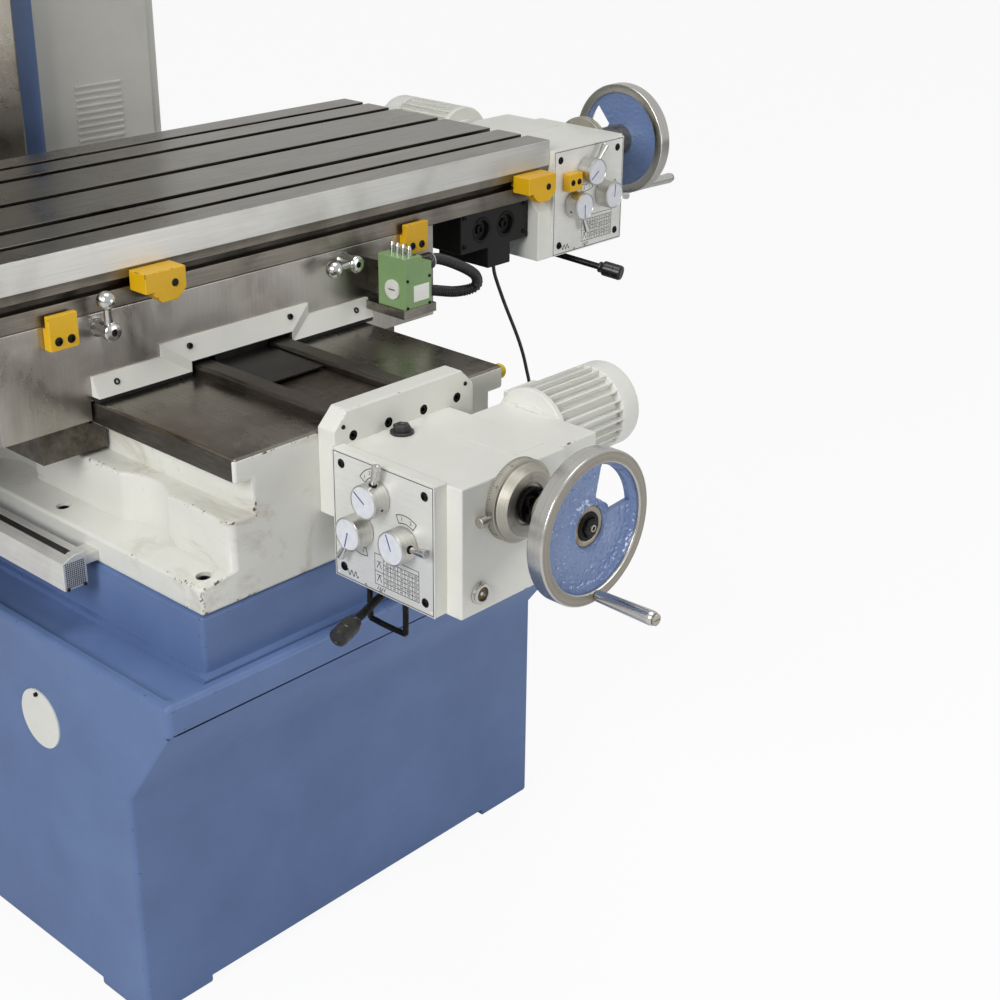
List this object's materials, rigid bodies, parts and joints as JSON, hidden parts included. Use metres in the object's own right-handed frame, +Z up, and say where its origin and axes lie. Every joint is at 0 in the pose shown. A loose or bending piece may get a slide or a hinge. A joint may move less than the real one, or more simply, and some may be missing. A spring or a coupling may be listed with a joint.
{
  "type": "bed mill",
  "caption": "Bed-type milling machine: blue base with coolant tray, cross saddle, long T-slotted table, two gearbox feeds with handwheels, column and sliding head.",
  "frame": {"origin": "on the floor, under the spindle's axis and the bed's centre line", "axes": "+X along the table to the right, +Y to the column at the back, +Z up"},
  "size_m": [2.2356, 1.9736, 2.355],
  "materials": {
    "blue_paint": "semi-gloss",
    "blue_wheel": "semi-gloss",
    "white_paint": "semi-gloss",
    "grey_paint": "satin",
    "yellow_paint": "semi-gloss",
    "green_paint": "satin",
    "black_paint": "satin",
    "dark_sheet": "satin",
    "saddle_iron": "machined",
    "ground_iron": "ground",
    "ground_steel": "ground",
    "black_steel": "blackened",
    "aluminium_profile": "anodised",
    "anodised_panel": "brushed",
    "satin_dial": "satin",
    "chrome_knob": "polished",
    "black_plastic": "gloss",
    "yellow_plastic": "matte",
    "red_plastic": "gloss",
    "green_plastic": "gloss",
    "black_rubber": "matte"
  },
  "bodies": {
    "frame": {"base": "blue_paint", "port_cover": "white_paint", "bed": "white_paint", "way_plug": "yellow_plastic", "cap_screws": "black_steel", "dro_scale": "aluminium_profile", "y_gearbox": "white_paint", "y_panel": "anodised_panel", "y_sight_glass": "ground_steel", "y_oil_plug": "black_plastic", "y_motor": "white_paint", "column": "blue_paint", "cabinet": "grey_paint", "z_motor": "white_paint"},
    "saddle": {"saddle": "saddle_iron", "keepers": "saddle_iron", "way_cover": "dark_sheet", "wipers": "white_paint", "saddle_screws": "black_steel", "travel_stops": "yellow_paint", "limit_switch": "green_paint", "switch_conduit": "black_rubber", "dro_reader": "aluminium_profile"},
    "table": {"table": "ground_iron", "trip_dogs": "yellow_paint", "x_gearbox": "white_paint", "x_drive_block": "black_paint", "x_panel": "anodised_panel", "x_motor": "white_paint", "x_cable": "black_rubber"},
    "head": {"head": "white_paint", "spindle_motor": "white_paint", "control_box": "dark_sheet"},
    "y_screw": {"y_screw": "ground_steel"},
    "y_knob_1": {"y_knob_1": "chrome_knob"},
    "y_knob_2": {"y_knob_2": "chrome_knob"},
    "y_knob_3": {"y_knob_3": "chrome_knob"},
    "y_feed_lever": {"y_feed_lever": "black_plastic"},
    "y_dial": {"y_dial": "satin_dial"},
    "y_handwheel": {"y_handwheel": "blue_wheel"},
    "y_handle": {"y_handle": "chrome_knob"},
    "lock_lever_left": {"lock_lever_left": "chrome_knob"},
    "lock_lever_right": {"lock_lever_right": "chrome_knob"},
    "switch_plungers": {"switch_plungers": "ground_steel"},
    "x_screw": {"x_screw": "ground_steel"},
    "x_knob_1": {"x_knob_1": "chrome_knob"},
    "x_knob_2": {"x_knob_2": "chrome_knob"},
    "x_knob_3": {"x_knob_3": "chrome_knob"},
    "x_feed_lever": {"x_feed_lever": "black_plastic"},
    "x_dial": {"x_dial": "satin_dial"},
    "x_handwheel": {"x_handwheel": "blue_wheel"},
    "x_handle": {"x_handle": "chrome_knob"},
    "cabinet_door": {"cabinet_door": "grey_paint"},
    "z_screw": {"z_screw": "ground_steel"},
    "spindle": {"spindle": "ground_steel"},
    "emergency_stop": {"emergency_stop": "red_plastic"},
    "start_button": {"start_button": "green_plastic"},
    "stop_button": {"stop_button": "black_plastic"}
  },
  "joints": [
    {"name": "saddle_slide", "type": "slide", "parent": "frame", "child": "saddle", "axis": [0, 1, 0], "range_m": [-0.15, 0.22]},
    {"name": "table_slide", "type": "slide", "parent": "saddle", "child": "table", "axis": [1, 0, 0], "range_m": [-0.04, 0.58]},
    {"name": "head_slide", "type": "slide", "parent": "frame", "child": "head", "axis": [0, 0, 1], "range_m": [-0.3, 0.2]},
    {"name": "spindle_spin", "type": "hinge", "parent": "head", "child": "spindle", "pos_m": [0, 0, 1.4], "axis": [0, 0, 1], "continuous": true},
    {"name": "y_screw_spin", "type": "hinge", "parent": "frame", "child": "y_screw", "pos_m": [0.006, -0.546, 0.763], "axis": [0, 1, 0], "range_deg": [-5500, 8000]},
    {"name": "x_screw_spin", "type": "hinge", "parent": "table", "child": "x_screw", "pos_m": [0.644, -0.144, 0.969], "axis": [1, 0, 0], "range_deg": [-1500, 21000]},
    {"name": "z_screw_spin", "type": "hinge", "parent": "frame", "child": "z_screw", "pos_m": [0, 0.525, 1.5], "axis": [0, 0, 1], "range_deg": [-11000, 7300]},
    {"name": "y_dial_turn", "type": "hinge", "parent": "y_screw", "child": "y_dial", "pos_m": [0.006, -0.796, 0.763], "axis": [0, 1, 0], "continuous": true},
    {"name": "y_handwheel_spin", "type": "hinge", "parent": "y_screw", "child": "y_handwheel", "pos_m": [0.006, -0.906, 0.763], "axis": [0, 1, 0], "continuous": true},
    {"name": "y_handle_spin", "type": "hinge", "parent": "y_handwheel", "child": "y_handle", "pos_m": [0.01242, -0.946, 0.67122], "axis": [0, 1, 0], "continuous": true},
    {"name": "y_knob_1_turn", "type": "hinge", "parent": "frame", "child": "y_knob_1", "pos_m": [-0.124, -0.662, 0.764], "axis": [1, 0, 0], "range_deg": [-60, 30]},
    {"name": "y_knob_2_turn", "type": "hinge", "parent": "frame", "child": "y_knob_2", "pos_m": [-0.124, -0.631, 0.71], "axis": [1, 0, 0], "range_deg": [-45, 45]},
    {"name": "y_knob_3_turn", "type": "hinge", "parent": "frame", "child": "y_knob_3", "pos_m": [-0.124, -0.71, 0.716], "axis": [1, 0, 0], "range_deg": [-35, 50]},
    {"name": "y_feed_lever_turn", "type": "hinge", "parent": "frame", "child": "y_feed_lever", "pos_m": [-0.044, -0.631, 0.613], "axis": [0, 0, 1], "range_deg": [0, 28]},
    {"name": "x_dial_turn", "type": "hinge", "parent": "x_screw", "child": "x_dial", "pos_m": [0.894, -0.144, 0.969], "axis": [1, 0, 0], "continuous": true},
    {"name": "x_handwheel_spin", "type": "hinge", "parent": "x_screw", "child": "x_handwheel", "pos_m": [1.004, -0.144, 0.969], "axis": [1, 0, 0], "continuous": true},
    {"name": "x_handle_spin", "type": "hinge", "parent": "x_handwheel", "child": "x_handle", "pos_m": [1.044, -0.18142, 0.88495], "axis": [1, 0, 0], "continuous": true},
    {"name": "x_knob_1_turn", "type": "hinge", "parent": "table", "child": "x_knob_1", "pos_m": [0.76, -0.274, 0.97], "axis": [0, 1, 0], "range_deg": [-60, 30]},
    {"name": "x_knob_2_turn", "type": "hinge", "parent": "table", "child": "x_knob_2", "pos_m": [0.729, -0.274, 0.916], "axis": [0, 1, 0], "range_deg": [-45, 45]},
    {"name": "x_knob_3_turn", "type": "hinge", "parent": "table", "child": "x_knob_3", "pos_m": [0.808, -0.274, 0.922], "axis": [0, 1, 0], "range_deg": [-35, 50]},
    {"name": "x_feed_lever_turn", "type": "hinge", "parent": "table", "child": "x_feed_lever", "pos_m": [0.729, -0.194, 0.819], "axis": [0, 0, 1], "range_deg": [-25, 25]},
    {"name": "lock_lever_left_turn", "type": "hinge", "parent": "saddle", "child": "lock_lever_left", "pos_m": [-0.226, -0.25, 0.919], "axis": [0, 1, 0], "range_deg": [-90, 0]},
    {"name": "lock_lever_right_turn", "type": "hinge", "parent": "saddle", "child": "lock_lever_right", "pos_m": [0.209, -0.25, 0.921], "axis": [0, 1, 0], "range_deg": [-60, 0]},
    {"name": "switch_plungers_press", "type": "slide", "parent": "saddle", "child": "switch_plungers", "axis": [0, 0, -1], "range_m": [0, 0.004], "stiffness_N_per_m": 400, "springref_m": -0.003},
    {"name": "cabinet_door_swing", "type": "hinge", "parent": "frame", "child": "cabinet_door", "pos_m": [0.479, 0.888, 1.35], "axis": [0, 0, 1], "range_deg": [0, 110]},
    {"name": "emergency_stop_press", "type": "slide", "parent": "head", "child": "emergency_stop", "axis": [0, 1, 0], "range_m": [0, 0.006]},
    {"name": "start_button_press", "type": "slide", "parent": "head", "child": "start_button", "axis": [0, 1, 0], "range_m": [0, 0.004], "stiffness_N_per_m": 800, "springref_m": -0.002},
    {"name": "stop_button_press", "type": "slide", "parent": "head", "child": "stop_button", "axis": [0, 1, 0], "range_m": [0, 0.004], "stiffness_N_per_m": 800, "springref_m": -0.002}
  ],
  "couplings": [
    {"joint": "y_screw_spin", "follows": "saddle_slide", "rad_per_m": 628.32},
    {"joint": "x_screw_spin", "follows": "table_slide", "rad_per_m": 628.32},
    {"joint": "z_screw_spin", "follows": "head_slide", "rad_per_m": 628.32}
  ]
}
